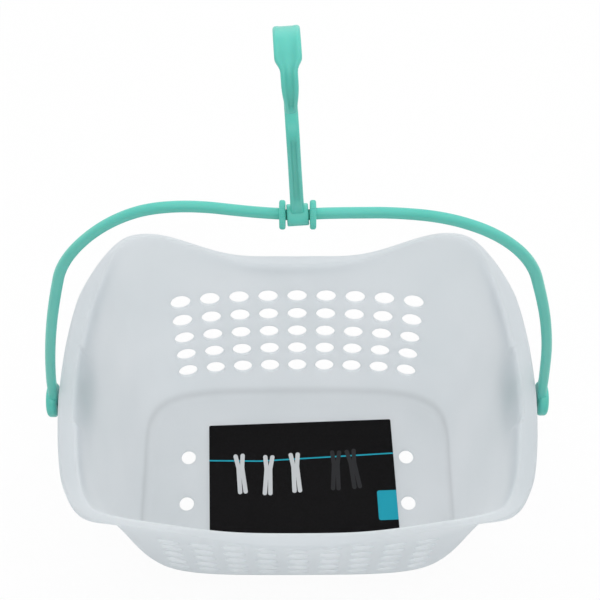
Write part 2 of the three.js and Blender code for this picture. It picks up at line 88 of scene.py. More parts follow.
# Hook sizes, the solid's apart from the bend and the finer forms
RING_WIDE, RING_OUTER, RING_GAP, RING_ROUND, MOUTH = 9.1, 9.4, 0.3, 0.5, 3.6
LIP_SWELL, LIP_AT, LIP_SPREAD = 1.3, math.radians(162), math.radians(17)  # on the front of the ring
HOOK_THICK, HOOK_CORNER, LEAST_FLAT = 4.4, 1.1, 0.3
STEM_WIDE, STEM_TOP_WIDE, CROWN_WIDE, TIP_ROOT_WIDE, TIP_WIDE = 5.7, 5.3, 9.8, 6.2, 4.4
STEM, BEND_RADIUS, BEND_ANGLE = 47.5, 8.97, math.radians(75)
CROWN_Z, CROWN_RADIUS, TIP_DROP = 92.6, 13.3, 5.2
CROWN_TAPER = (0.4, 0.7)  # of the crown's radius, in front, where it narrows to the tip
STEM_STEPS, BEND_STEPS, BACK_STEPS, CROWN_STEPS, TIP_STEPS, RING_STEPS = 25, 18, 13, 40, 7, 60
TIP_LENGTH, TIP_NARROWS, TIP_THINS = 1.6, 3.4, 3.0  # the rounded end of the front leg
GROOVE_SHARE, GROOVE_FLAT_SHARE = 0.8, 0.8  # of a flat face, and of the groove
CROWN_GROOVE, LEG_RUN_OUT, STEM_RUN_IN, STEM_RUN_OUT = 0.15, 3.0, 6.0, (2.0, 5.0)
HOOK_LEAN, HOOK_YAW = math.radians(2.0), math.radians(3.0)  # how it hangs askew, within the ring's play

# Card sizes
CARD_WIDE, CARD_DEEP, CARD_THICK, CARD_TURN, CARD_CORNER = 115.0, 76.0, 0.5, 0.037, 1.0
CARD_LIFT, CARD_EDGE = 0.3, 0.12
CARD_X, CARD_Y, CARD_Z = 3.0, 0.6, WALL + CARD_LIFT


# Meshes
def new_object(name, points, faces, material, smooth_faces=True):
    mesh = bpy.data.meshes.new(name)
    mesh.from_pydata((np.asarray(points) * MM).tolist(), [], [[int(i) for i in f] for f in faces])
    mesh.validate(verbose=False)
    mesh.polygons.foreach_set("use_smooth", [smooth_faces] * len(mesh.polygons))
    mesh.materials.append(material)
    mesh.update()
    obj = bpy.data.objects.new(name, mesh)
    bpy.context.scene.collection.objects.link(obj)
    return obj


class Builder:
    """Gathers points and faces; rings of points are joined by strips."""

    def __init__(self):
        self.points, self.faces = [], []

    def add(self, points):
        start = len(self.points)
        self.points.extend(np.asarray(points, float).reshape(-1, 3))
        return np.arange(start, len(self.points))

    def strip(self, low, high):
        for k in range(len(low)):
            j = (k + 1) % len(low)
            self.faces.append((low[k], low[j], high[j], high[k]))

    def tube(self, rings):
        """Joins rings in turn and closes both ends."""
        for low, high in zip(rings[:-1], rings[1:]):
            self.strip(low, high)
        self.faces.append(tuple(rings[0][::-1]))
        self.faces.append(tuple(rings[-1]))

    def arrays(self):
        points = np.array(self.points)
        used = np.unique(np.concatenate([np.array(f) for f in self.faces]))
        renumber = -np.ones(len(points), int)
        renumber[used] = np.arange(len(used))
        return points[used], [tuple(renumber[list(f)]) for f in self.faces]


def smooth(x, a, b):
    t = np.clip((x - a) / (b - a), 0, 1)
    return t * t * (3 - 2 * t)


def mix(a, b, share):
    return a + (b - a) * share


def quarter_turn(steps):
    return np.linspace(0, np.pi / 2, steps + 1)


# Basket: the horizontal outline and the crest, as in the solid
def folded(theta):
    return np.arctan2(np.abs(np.sin(theta)), np.abs(np.cos(theta)))


def crest(theta):
    away = folded(theta) - LOBE_AT
    base = np.where(away > 0, END_CREST, SIDE_CREST)
    spread = np.where(away > 0, LOBE_TO_END, LOBE_TO_SIDE)
    return base + (LOBE_CREST - base) * np.exp(-((away / spread) ** 2))


def plan(theta, z, out=0.0):
    rise = z / crest(theta)
    power = mix(FOOT_POWER, CREST_POWER, rise)
    tuck = np.exp(-z / TUCK_HEIGHT)
    half_width = BASE_X + SIDE_FLARE * z - SIDE_TUCK * tuck
    half_depth = BASE_Y + END_FLARE * z - END_TUCK * tuck
    c, s = np.cos(theta), np.sin(theta)
    reach = (np.abs(c) ** power + np.abs(s) ** power) ** (-1 / power)
    sx, sy = c * reach, s * reach
    x = half_width * sx * (1 - mix(FOOT_BULGE, CREST_BULGE, rise) * sy**2)
    y = half_depth * sy * (1 - BOW * np.sin(np.pi * np.minimum(rise, 1)) * sx**2)
    nx = np.sign(c) * np.abs(sx) ** (power - 1) / half_width
    ny = np.sign(s) * np.abs(sy) ** (power - 1) / half_depth
    size = np.hypot(nx, ny)
    return x + out * nx / size, y + out * ny / size


def surface(theta, z, depth=0.0):
    """A point of the wall, depth millimetres outwards from its inner face."""
    theta, z = np.broadcast_arrays(np.asarray(theta, float), np.asarray(z, float))
    x, y = plan(theta, z)
    turn, rise = 1e-4, 0.05
    xa, ya = plan(theta + turn, z)
    xb, yb = plan(theta, z + rise)
    along = np.stack([xa - x, ya - y, 0 * x], -1) / turn
    up = np.stack([xb - x, yb - y, rise + 0 * x], -1) / rise
    normal = np.cross(along, up)
    normal /= np.linalg.norm(normal, axis=-1, keepdims=True)
    return np.stack([x, y, z], -1) + depth * normal


def angle_at(x, z):
    """The outline's angle, in the first quarter, where the wall's inner face stands at x."""
    x, z = np.broadcast_arrays(np.asarray(x, float), np.asarray(z, float))
    least, halvings = 0.02, 40
    low, high = np.full(x.shape, least), np.full(x.shape, np.pi / 2)
    for _ in range(halvings):
        middle = (low + high) / 2
        beyond = plan(middle, z)[0] > x
        low, high = np.where(beyond, middle, low), np.where(beyond, high, middle)
    return (low + high) / 2


# Basket: columns of points, the same number at every height. The ends' middle ones carry the holes.
SPLIT = 8  # faces along each side of a hole's cell
SIDE_COLUMNS = 46  # from the middle of a side to the holes' field
PAD_STEPS = (-0.9, 0.0, 0.5, 1.0, 1.9)  # columns at a pad's end, from its end
FIELD_HALF = PITCH * COLUMNS / 2
ROW_PITCH = PITCH / math.hypot(1, END_FLARE)
FIELD_LOW = LOWEST - ROW_PITCH / 2
FIELD_HIGH = FIELD_LOW + ROW_PITCH * ROWS
FIELD_ROWS = np.linspace(FIELD_LOW, FIELD_HIGH, ROWS * SPLIT + 1)
LOW_ROWS = np.array([FOOT, 9.5, 12.5, 16.3])


def side_shares():
    """Shares of the angle from a side's middle to the field of holes, closer where the wall turns."""
    share = np.linspace(0, 1, 4001)
    near_top, turn_length = 128.0, 35.0
    x, y = plan(share * angle_at(FIELD_HALF, near_top), near_top)
    heading = np.unwrap(np.arctan2(np.gradient(y), np.gradient(x)))
    run = np.hypot(np.diff(x), np.diff(y)) + turn_length * np.abs(np.diff(heading))
    total = np.concatenate([[0], np.cumsum(run)])
    even = np.interp(np.linspace(0, total[-1], SIDE_COLUMNS + 1)[:-1], total, share)
    ends = np.interp([PAD_HALF + step for step in PAD_STEPS], y, share)
    clear = 0.004
    even = even[(even < ends[0] - clear) | (even > ends[-1] + clear)]
    return np.sort(np.concatenate([even, ends]))


SHARES = side_shares()
FIELD = np.linspace(FIELD_HALF, 0, COLUMNS * SPLIT // 2 + 1)
QUARTER = len(SHARES) + len(FIELD)


def quarter_angles(z):
    """Angles of the first quarter's columns at one height, or at one height for each column."""
    z = np.broadcast_to(np.asarray(z, float), (QUARTER,))
    edge = angle_at(FIELD_HALF, z[: len(SHARES)])
    return np.concatenate([SHARES * edge, angle_at(FIELD, z[len(SHARES) :])])


def whole(values):
    """The first quarter's values mirrored round the whole outline."""
    upper = np.concatenate([values, values[1:-1][::-1]])
    return np.concatenate([upper, upper])


def whole_angles(values):
    upper = np.concatenate([values, np.pi - values[1:-1][::-1]])
    return np.concatenate([upper, upper + np.pi])


def crest_quarter():
    z = np.full(QUARTER, SIDE_CREST)
    for _ in range(30):
        z = mix(z, crest(quarter_angles(z)), 0.5)
    return z


CREST_QUARTER = crest_quarter()
CREST = whole(CREST_QUARTER)
TOP = whole_angles(quarter_angles(CREST_QUARTER))
COLUMN_COUNT = len(TOP)


def arm_lean(rise):
    turned = math.asin(math.sin(FOOT_ANGLE) + rise / ARM_RADIUS)
    return ARM_RADIUS * (math.cos(FOOT_ANGLE) - math.cos(turned))


RIM_EDGE = float(plan(0.0, SIDE_CREST, SIDE_RIM)[0])
BAIL_INNER = RIM_EDGE + arm_lean(SIDE_CREST - PIVOT) + RIM_GAP
PAD_FACE = BAIL_INNER - SIDE_GAP


def along_rim(side, lobe, end):
    narrowed = mix(side, lobe, smooth(folded(TOP), *RIM_NARROWS))
    return mix(narrowed, end, smooth(folded(TOP), *RIM_BROADENS))


RIM = along_rim(SIDE_RIM, LOBE_RIM, END_RIM)
LIP = np.minimum(SKIRT, LIP_SHARE * (RIM - WALL))
FACING = np.where(np.abs(np.cos(TOP)) > np.abs(np.sin(TOP)), np.sign(np.cos(TOP)), 0.0)
ALONG_SIDE = np.abs(plan(TOP, CREST, RIM)[1])
ON_PAD = np.where(FACING == 0, 0, 1 - smooth(ALONG_SIDE - PAD_HALF, *PAD_BLEND))
SKIRT_BOTTOM = mix(CREST - along_rim(SIDE_SKIRT, LOBE_SKIRT, END_SKIRT), PIVOT - PAD_DROP, ON_PAD)
RIM_TOP = CREST - RIM_DROP


def rim_point(out, z):
    """A point at height z, out millimetres outwards of the crest's outline."""
    return np.stack([*plan(TOP, CREST, out), z], -1)


def wall_point(out, z):
    """The same, but outwards of the wall's outline at that height."""
    return np.stack([*plan(TOP, z, out), z], -1)


def skirt_point(inset, z):
    """A point inset from the skirt's face, which stands out over the pads and not at the rim's top."""
    p = rim_point(RIM - inset, z)
    from_pivot = np.hypot(p[:, 1], p[:, 2] - PIVOT)
    stand = np.maximum(PAD_FACE - PAD_FALL * from_pivot - inset - np.abs(p[:, 0]), 0)
    fade = 1 - smooth(p[:, 2], RIM_TOP - PAD_FADE_LOW, RIM_TOP - PAD_FADE_HIGH)
    p[:, 0] += FACING * stand * fade * ON_PAD
    return p


# Basket: the shell is one run of rings, from the underside's edge round the rim to the floor's edge
FOOT_STEPS, UPPER_STEPS = 8, 12
ARC = quarter_turn(4)
PAD_ROWS = (0.3, 0.55, 0.775, 1.0, 1.225, 1.45)  # levels of a pad's rings; its bottom is 0 and the pivot 1
PAD_ROW_FIRST = 1  # the pin's hole lies between this row and the fourth after it


def foot_rings(outwards, radius, bottom):
    theta = whole_angles(quarter_angles(FOOT))
    rings = []
    for t in quarter_turn(FOOT_STEPS)[:-1]:
        x, y = plan(theta, np.full(COLUMN_COUNT, FOOT), outwards - radius * (1 - math.sin(t)))
        rings.append(np.stack([x, y, np.full(COLUMN_COUNT, bottom + radius * (1 - math.cos(t)))], -1))
    return rings


def wall_rings(depth, top):
    rings = []
    for z in [*LOW_ROWS, *FIELD_ROWS]:
        rings.append(surface(whole_angles(quarter_angles(z)), np.full(COLUMN_COUNT, z), depth))
    for share in np.linspace(0, 1, UPPER_STEPS + 1)[1:]:
        z = mix(FIELD_HIGH, top, share)
        p = surface(whole_angles(quarter_angles(z[:QUARTER])), z, depth)
        p[:, 0] += FACING * ON_PAD * PAD_SHIFT * smooth(z, PIVOT - PAD_SHIFT_START, SIDE_CREST)
        rings.append(p)
    return rings


def lip_rings():
    """The rim from the outer wall's top: its underside, the turned-down lip and its upper face."""
    shift = PAD_SHIFT * ON_PAD
    room = RIM - WALL - LIP - shift
    at_wall = np.minimum(UNDER_ROUND, ROUND_SHARE * room)
    at_lip = np.minimum(LIP_ROUND, ROUND_SHARE * room)
    under = RIM_TOP - SKIRT
    edge = ROUND_SHARE * LIP
    low = SKIRT_BOTTOM + edge
    face_round = np.minimum(FACE_ROUND, ROUND_SHARE * (RIM_TOP - low))
    high = RIM_TOP - face_round
    crest_round = np.minimum(CREST_ROUND, CREST_ROUND_SHARE * RIM)

    def levels(bottom, top):
        """Heights of the rings between a skirt's bottom and top, evenly past the pivot on the pads."""
        for share in PAD_ROWS:
            plain = mix(bottom, top, share / (PAD_ROWS[-1] + PAD_ROWS[0]))
            yield mix(plain, PIVOT - PAD_DROP * (1 - share), ON_PAD)

    turns = [(1 - math.sin(a), 1 - math.cos(a)) for a in ARC]
    rings = [wall_point(WALL + shift + at_wall * c, under - at_wall * s) for s, c in turns]
    rings += [skirt_point(LIP + at_lip * s, under - at_lip * c) for s, c in turns]
    inner_start = len(rings)
    rings += [skirt_point(LIP, z) for z in reversed(list(levels(low, under - at_lip)))]
    rings += [skirt_point(LIP - edge * c, SKIRT_BOTTOM + edge * s) for s, c in turns]
    rings += [skirt_point(edge * s, SKIRT_BOTTOM + edge * c) for s, c in turns]
    outer_start = len(rings)
    rings += [skirt_point(0.0, z) for z in levels(low, high)]
    rings += [skirt_point(face_round * c, RIM_TOP - face_round * s) for s, c in turns]
    for share in (0.25, 0.5, 0.75):
        out = mix(RIM - face_round, crest_round + shift, share)
        rings.append(rim_point(out, RIM_TOP + RIM_DROP * share))
    rings += [wall_point(shift + crest_round * s, CREST - crest_round * c) for s, c in turns[:-1]]
    return rings, inner_start, outer_start, CREST - crest_round, under - at_wall


def cell_loop(index, row, step, column, size):
    """The square of points round a cell, from its first corner on."""
    across = [(column + k) % COLUMN_COUNT for k in range(size + 1)]
    loop = [index[row][across[k]] for k in range(size)]
    loop += [index[row + step * k][across[size]] for k in range(size)]
    loop += [index[row + step * size][across[size - k]] for k in range(size)]
    return loop + [index[row + step * (size - k)][across[0]] for k in range(size)]


def wall_hole(b, index, side, column, centre_x, centre_z, rows):
    """Fills a cell of the wall round its hole, on both faces, and joins them through the wall."""
    tilt = math.cos(math.atan(END_FLARE))
    radius = HOLE / 2
    loops = {}
    for depth, (row, step) in rows.items():
        loop = cell_loop(index, row, step, column, SPLIT)
        corners = np.array([b.points[i] for i in loop])
        phi = np.arctan2((corners[:, 2] - centre_z) / tilt, corners[:, 0] - centre_x)
        chain = [loop]
        inward = -1 if depth else 1
        for out, sunk in HOLE_EDGE:
            x = centre_x + (radius + out) * np.cos(phi)
            z = centre_z + (radius + out) * np.sin(phi) * tilt
            theta = angle_at(np.abs(x), z)
            theta = side * np.where(x >= 0, theta, np.pi - theta)
            chain.append(b.add(surface(theta, z, depth + inward * sunk)))
        for outer, inner in zip(chain[:-1], chain[1:]):
            b.strip(*((outer, inner) if depth else (inner, outer)))
        loops[depth] = chain[-1]
    b.strip(loops[WALL], loops[0])


def pin_hole(b, index, column, rows):
    """Fills a cell of a pad round the pin's hole in the same way."""
    radius = PIN / 2 + PIN_GAP
    ends = {}
    for outer_face, (row, step) in rows.items():
        loop = cell_loop(index, row, step, column, 4)
        corners = np.array([b.points[i] for i in loop])
        phi = np.arctan2(corners[:, 2] - PIVOT, corners[:, 1])
        chain = [loop]
        for out in PIN_HOLE_RINGS:
            y, rise = (radius + out) * np.cos(phi), (radius + out) * np.sin(phi)
            face = PAD_FACE - PAD_FALL * (radius + out) - (0 if outer_face else SKIRT)
            chain.append(b.add(np.stack([np.sign(corners[:, 0]) * face, y, PIVOT + rise], -1)))
        for outer, inner in zip(chain[:-1], chain[1:]):
            b.strip(*((outer, inner) if outer_face else (inner, outer)))
        ends[outer_face] = chain[-1]
    b.strip(ends[True], ends[False])


def floor_face(b, ring, z, underside):
    """A flat face inside a ring of points, with the edges of the four floor holes."""
    rise = 1 if underside else -1
    phi = np.linspace(0, 2 * np.pi, FLOOR_HOLE_SIDES, endpoint=False)
    edge, radius = FLOOR_EDGE, FLOOR_HOLE / 2
    centres = [(sx * PITCH * (COLUMNS - 1) / 2, sy * FLOOR_HOLE_Y) for sx in (-1, 1) for sy in (-1, 1)]
    rims, ends = [], []
    for cx, cy in centres:
        chain = []
        for out, sunk in ((edge, 0), (0.3 * edge, 0.3 * edge), (0, edge)):
            x, y = cx + (radius + out) * np.cos(phi), cy + (radius + out) * np.sin(phi)
            chain.append(b.add(np.stack([x, y, np.full(len(phi), z + rise * sunk)], -1)))
        for outer, inner in zip(chain[:-1], chain[1:]):
            b.strip(*((inner, outer) if underside else (outer, inner)))
        rims.append(chain[0])
        ends.append(chain[-1])
    inside = np.array([b.points[i][:2] for i in ring])
    reach = np.abs(inside).max(0) - FLOOR_SPACING
    grid = [
        (gx, gy, z)
        for gx in np.arange(-reach[0], reach[0], FLOOR_SPACING)
        for gy in np.arange(-reach[1], reach[1], FLOOR_SPACING)
        if all(math.hypot(gx - cx, gy - cy) > FLOOR_HOLE for cx, cy in centres)
        and (abs(gx) / reach[0]) ** 4 + (abs(gy) / reach[1]) ** 4 < 1
    ]
    ids = [*ring, *(i for rim in rims for i in rim), *b.add(grid)]
    edges, start = [], 0
    for count in [len(ring), *(len(rim) for rim in rims)]:
        edges += [(start + k, start + (k + 1) % count) for k in range(count)]
        start += count
    flat = [Vector(b.points[i][:2]) for i in ids]
    points, _, faces, origins, _, _ = delaunay_2d_cdt(flat, edges, [], 1, 1e-5)
    lookup = [ids[origin[0]] if origin else None for origin in origins]
    for face in faces:
        middle = sum((points[k] for k in face), Vector((0, 0))) / len(face)
        if any(math.hypot(middle.x - cx, middle.y - cy) < radius + edge / 2 for cx, cy in centres):
            continue
        loop = [lookup[k] for k in face]
        b.faces.append(tuple(loop[::-1] if underside else loop))
    return ends


def build_shell(material):
    b = Builder()
    lip, lip_inner, lip_outer, inner_top, outer_top = lip_rings()
    outer = [*foot_rings(WALL, FOOT, 0.0), *wall_rings(WALL, outer_top)[:-1]]
    inner = [*foot_rings(0.0, FOOT - WALL, WALL), *wall_rings(0.0, inner_top)]
    rings = outer + lip + inner[::-1]
    index = [b.add(ring) for ring in rings]
    last = len(rings) - 1

    # Cells that are filled by themselves, by the place of their first corner
    first_row = FOOT_STEPS + len(LOW_ROWS)
    cells, holed = [], set()
    for side, middle in ((1, QUARTER - 1), (-1, QUARTER - 1 + COLUMN_COUNT // 2)):
        for row in range(ROWS):
            for column in range(COLUMNS):
                low = first_row + row * SPLIT
                start = middle + (column - COLUMNS // 2) * SPLIT - SPLIT // 2
                centre_x = side * PITCH * (COLUMNS // 2 - column)
                rows = {WALL: (low, 1), 0: (last - low, -1)}
                cells.append((side, start, centre_x, LOWEST + row * ROW_PITCH, rows))
                for k in range(SPLIT):
                    for n in range(SPLIT):
                        holed.update({(low + k, start + n), (last - low - k - 1, start + n)})
    pins = []
    outer_row = len(outer) + lip_outer + PAD_ROW_FIRST
    inner_row = len(outer) + lip_inner + len(PAD_ROWS) - 1 - PAD_ROW_FIRST
    for middle in (0, COLUMN_COUNT // 2):
        pins.append((middle - 2, {True: (outer_row, 1), False: (inner_row, -1)}))
        for k in range(4):
            for n in range(-2, 2):
                column = (middle + n) % COLUMN_COUNT
                holed.update({(outer_row + k, column), (inner_row - k - 1, column)})

    for k in range(last):
        for c in range(COLUMN_COUNT):
            if (k, c) not in holed:
                n = (c + 1) % COLUMN_COUNT
                b.faces.append((index[k][c], index[k][n], index[k + 1][n], index[k + 1][c]))
    for side, start, centre_x, centre_z, rows in cells:
        wall_hole(b, index, side, start, centre_x, centre_z, rows)
    for start, rows in pins:
        pin_hole(b, index, start, rows)
    under_ends = floor_face(b, index[0], 0.0, True)
    top_ends = floor_face(b, index[-1], WALL, False)
    for low, high in zip(under_ends, top_ends):
        b.strip(high, low)
    points, faces = b.arrays()
    return new_object("shell", points, faces, material)


# Sweeps and turned pieces
def rounded_corners(flat, tall, radius, steps):
    """The four corners of a rounded oblong in turn, each as its two signs and its points."""
    for qx, qy, start in ((1, 1, 0), (-1, 1, 90), (-1, -1, 180), (1, -1, 270)):
        turns = np.radians(start) + quarter_turn(steps)
        yield qx, qy, [(qx * flat + radius * math.cos(g), qy * tall + radius * math.sin(g)) for g in turns]


def rounded_oblong(flat, tall, radius, steps):
    return [point for _, _, points in rounded_corners(flat, tall, radius, steps) for point in points]


def sweep(b, centres, across, sideways, thickness, width, corner, grooves=None):
    """A bar with a rounded rectangular section: its thickness lies across and its width sideways.

    The grooves, if any, are pairs of depths in its two flat faces, the one that it faces across first."""
    rings = []
    grooves = [None] * len(centres) if grooves is None else grooves
    for centre, u, v, thick, wide, radius, depths in zip(
        centres, across, sideways, thickness, width, corner, grooves
    ):
        outline = []
        brim = (wide / 2 - radius) * GROOVE_SHARE
        floor = brim * GROOVE_FLAT_SHARE
        steps = ((brim, 0), (floor, 1), (-floor, 1), (-brim, 0))
        for qx, qy, points in rounded_corners(thick / 2 - radius, wide / 2 - radius, radius, CORNER_STEPS):
            outline += points
            if depths is not None and qx * qy < 0:
                depth = depths[0] if qx > 0 else depths[1]
                outline += [(qx * (thick / 2 - cut * depth), qy * s) for s, cut in steps]
        rings.append(b.add([centre + u * a + v * s for a, s in outline]))
    b.tube(rings)


def turned(b, profile, height, sides=DISC_SIDES, teeth=0):
    """A body turned about a line along X, from pairs of a distance along it and a radius.

    Teeth, if any, are notched into its outer fifth."""
    phi = np.linspace(0, 2 * np.pi, sides, endpoint=False)
    notch = TOOTH * (1 - np.cos(teeth * phi)) / 2
    largest = max(radius for _, radius in profile)
    rings = []
    for along, radius in profile:
        radius = radius - smooth(radius, 0.8 * largest, largest) * notch
        y, z = radius * np.cos(phi), height + radius * np.sin(phi)
        rings.append(b.add(np.stack([np.full(sides, along), y, z], -1)))
    b.tube(rings)


def disc_profile(start, end, radius, edge):
    """A disc with both edges rounded, and a ring inside each rounding that keeps its face flat."""
    flat = radius - edge
    inside = max(flat - edge, edge / 2)
    turns = [(edge * (1 - math.cos(g)), flat + edge * math.sin(g)) for g in quarter_turn(CORNER_STEPS)]
    rise = [(start + along, out) for along, out in turns]
    fall = [(end - along, out) for along, out in turns[::-1]]
    return [(start, inside), *rise, *fall, (end, inside)]


def unit_rows(rows):
    return rows / np.linalg.norm(rows, axis=1, keepdims=True)


# Bail
BAIL_X = BAIL_INNER + END_DISC_THICK / 2


def bail_line():
    """The right half's middle line from the pivot to the stop disc, and its top's height over the pivot."""
    points = [np.array([BAIL_X, 0.0])]
    arm = (ARM_RADIUS, FOOT_ANGLE, SHOULDER_ANGLE, ARM_STEPS)
    shoulder = (SHOULDER_RADIUS, SHOULDER_ANGLE, TOP_ANGLE, SHOULDER_STEPS)
    for radius, start, end, steps in (arm, shoulder):
        centre = points[-1] - radius * np.array([math.cos(start), math.sin(start)])
        for g in np.linspace(start, end, steps + 1)[1:]:
            points.append(centre + radius * np.array([math.cos(g), math.sin(g)]))
    x, z = points[-1]
    for beside in np.linspace(x, STOP_GAP / 2 + STOP_THICK / 2, TOP_STEPS + 1)[1:]:
        points.append(np.array([beside, z + (x - beside) / math.tan(TOP_ANGLE)]))
    return np.array(points), z + x / math.tan(TOP_ANGLE)


BAIL_LINE, BAIL_TOP = bail_line()
BAR_Z = PIVOT + BAIL_TOP

# The bendy bail stands a little askew. Each bend has the stretches over which it comes and goes, which are
# distances from the middle or, for the arm, heights.
LEFT_HIGH, LEFT_COMES, LEFT_GOES = 4.4, (10, 70), (60, 118)
RIGHT_LOW, RIGHT_COMES, RIGHT_GOES = 3.0, (5, 50), (70, 125)
ARM_OUT, ARM_COMES, ARM_GOES = 1.2, (PIVOT + 15, PIVOT + 70), (BAR_Z - 95, BAR_Z - 35)
SHOULDERS_IN, SHOULDERS_AT, SHOULDERS_SPREAD = 1.4, 99, 20


def between(x, comes, goes):
    return smooth(x, *comes) * (1 - smooth(x, *goes))


def askew(points):
    """The bail's points, with the shoulders and the right arm moved to where the bendy bail has them."""
    x, z = points[:, 0], points[:, 2]
    high = LEFT_HIGH * between(-x, LEFT_COMES, LEFT_GOES)
    low = RIGHT_LOW * between(x, RIGHT_COMES, RIGHT_GOES)
    out = ARM_OUT * (x > 0) * between(z, ARM_COMES, ARM_GOES)
    inward = SHOULDERS_IN * np.sign(x) * np.exp(-(((np.abs(x) - SHOULDERS_AT) / SHOULDERS_SPREAD) ** 2))
    return points + np.stack([out - inward, 0 * x, high - low], -1)


def build_bail(material):
    side = Builder()
    line = BAIL_LINE
    along = unit_rows(np.gradient(line, axis=0))
    rise = np.hypot(line[:, 0] - BAIL_X, line[:, 1])
    flat = 0 * rise
    root = 1 - smooth(rise, ROOT_START, ROOT_RUN)
    centres = np.stack([line[:, 0] - ARM_SET_IN * root, flat, line[:, 1] + PIVOT], -1)
    across = np.stack([along[:, 1], flat, -along[:, 0]], -1)
    sideways = np.tile(np.array([0.0, 1.0, 0.0]), (len(line), 1))
    thickness, width = mix(BAIL_THICK, ARM_ROOT_THICK, root), mix(BAIL_WIDE, ROOT_WIDE, root)
    sweep(side, centres, across, sideways, thickness, width, flat + BAIL_CORNER)
    disc = disc_profile(BAIL_INNER, BAIL_INNER + END_DISC_THICK, END_DISC / 2, END_DISC_ROUND)
    turned(side, disc, PIVOT)
    barb = PAD_FACE - SKIRT - BARB_GAP
    profile = [(barb - back * BARB_REACH, out * BARB_TIP / 2) for back, out in TIP_SHARES]
    profile += [(barb - back * BARB_REACH, out * BARB / 2) for back, out in BARB_SHARES]
    turned(side, [*profile, (barb, PIN / 2), (BAIL_X, PIN / 2)], PIVOT, BAR_SIDES)
    stop = STOP_GAP / 2
    disc = disc_profile(stop, stop + STOP_THICK, STOP_DISC / 2, STOP_ROUND)
    turned(side, disc, BAR_Z, TOOTH_SIDES * STOP_TEETH, STOP_TEETH)
    both = Builder()
    points, faces = side.arrays()
    right, left = both.add(points), both.add(points * np.array([-1, 1, 1]))
    for face in faces:
        both.faces += [tuple(right[list(face)]), tuple(left[list(face)][::-1])]
    reach, radius = stop + STOP_THICK / 2, BAR / 2
    half = [(reach - BAR_EDGE, radius), (reach, radius - BAR_EDGE)]
    turned(both, [*((-along, out) for along, out in half[::-1]), *half], BAR_Z, BAR_SIDES)
    points, faces = both.arrays()
    return new_object("bail", askew(points), faces, material)


# Hook
def hook_line():
    """Distance to the back and height above the bar, from the ring to the tip."""
    points = [(0.0, z) for z in np.linspace(RING_OUTER / 2 - HOOK_THICK / 2, STEM, STEM_STEPS + 1)]
    turns = np.linspace(0, BEND_ANGLE, BEND_STEPS + 1)
    bend = [(BEND_RADIUS * (1 - math.cos(g)), BEND_RADIUS * math.sin(g)) for g in turns]
    out, climb = bend[-1]
    points += [(y, STEM + z) for y, z in bend[1:]]
    points += [(2 * out - y, STEM + 2 * climb - z) for y, z in bend[-2::-1]]
    y, z = points[-1]
    back = np.linspace(0, 1, BACK_STEPS + 1)[1:]
    points += [(mix(y, CROWN_RADIUS, share), mix(z, CROWN_Z, share)) for share in back]
    for g in np.linspace(0, math.pi, CROWN_STEPS + 1)[1:]:
        points.append((CROWN_RADIUS * math.cos(g), CROWN_Z + CROWN_RADIUS * math.sin(g)))
    points += [(-CROWN_RADIUS, z) for z in np.linspace(CROWN_Z, CROWN_Z - TIP_DROP, TIP_STEPS + 1)[1:]]
    return np.array(points)


def hook_width(back, z):
    """The hook is broad over the crown and its back, and narrows in front to the tip."""
    tip = mix(TIP_WIDE, TIP_ROOT_WIDE, smooth(z, CROWN_Z - TIP_DROP, CROWN_Z + CROWN_RADIUS / 2))
    start, end = [share * CROWN_RADIUS for share in CROWN_TAPER]
    front = mix(CROWN_WIDE, tip, smooth(-back, start, end))
    stem = mix(STEM_WIDE, STEM_TOP_WIDE, smooth(z, 0, STEM))
    behind = mix(stem, CROWN_WIDE, smooth(z, CROWN_Z - CROWN_RADIUS, CROWN_Z))
    return np.where(back < 0, front, behind)


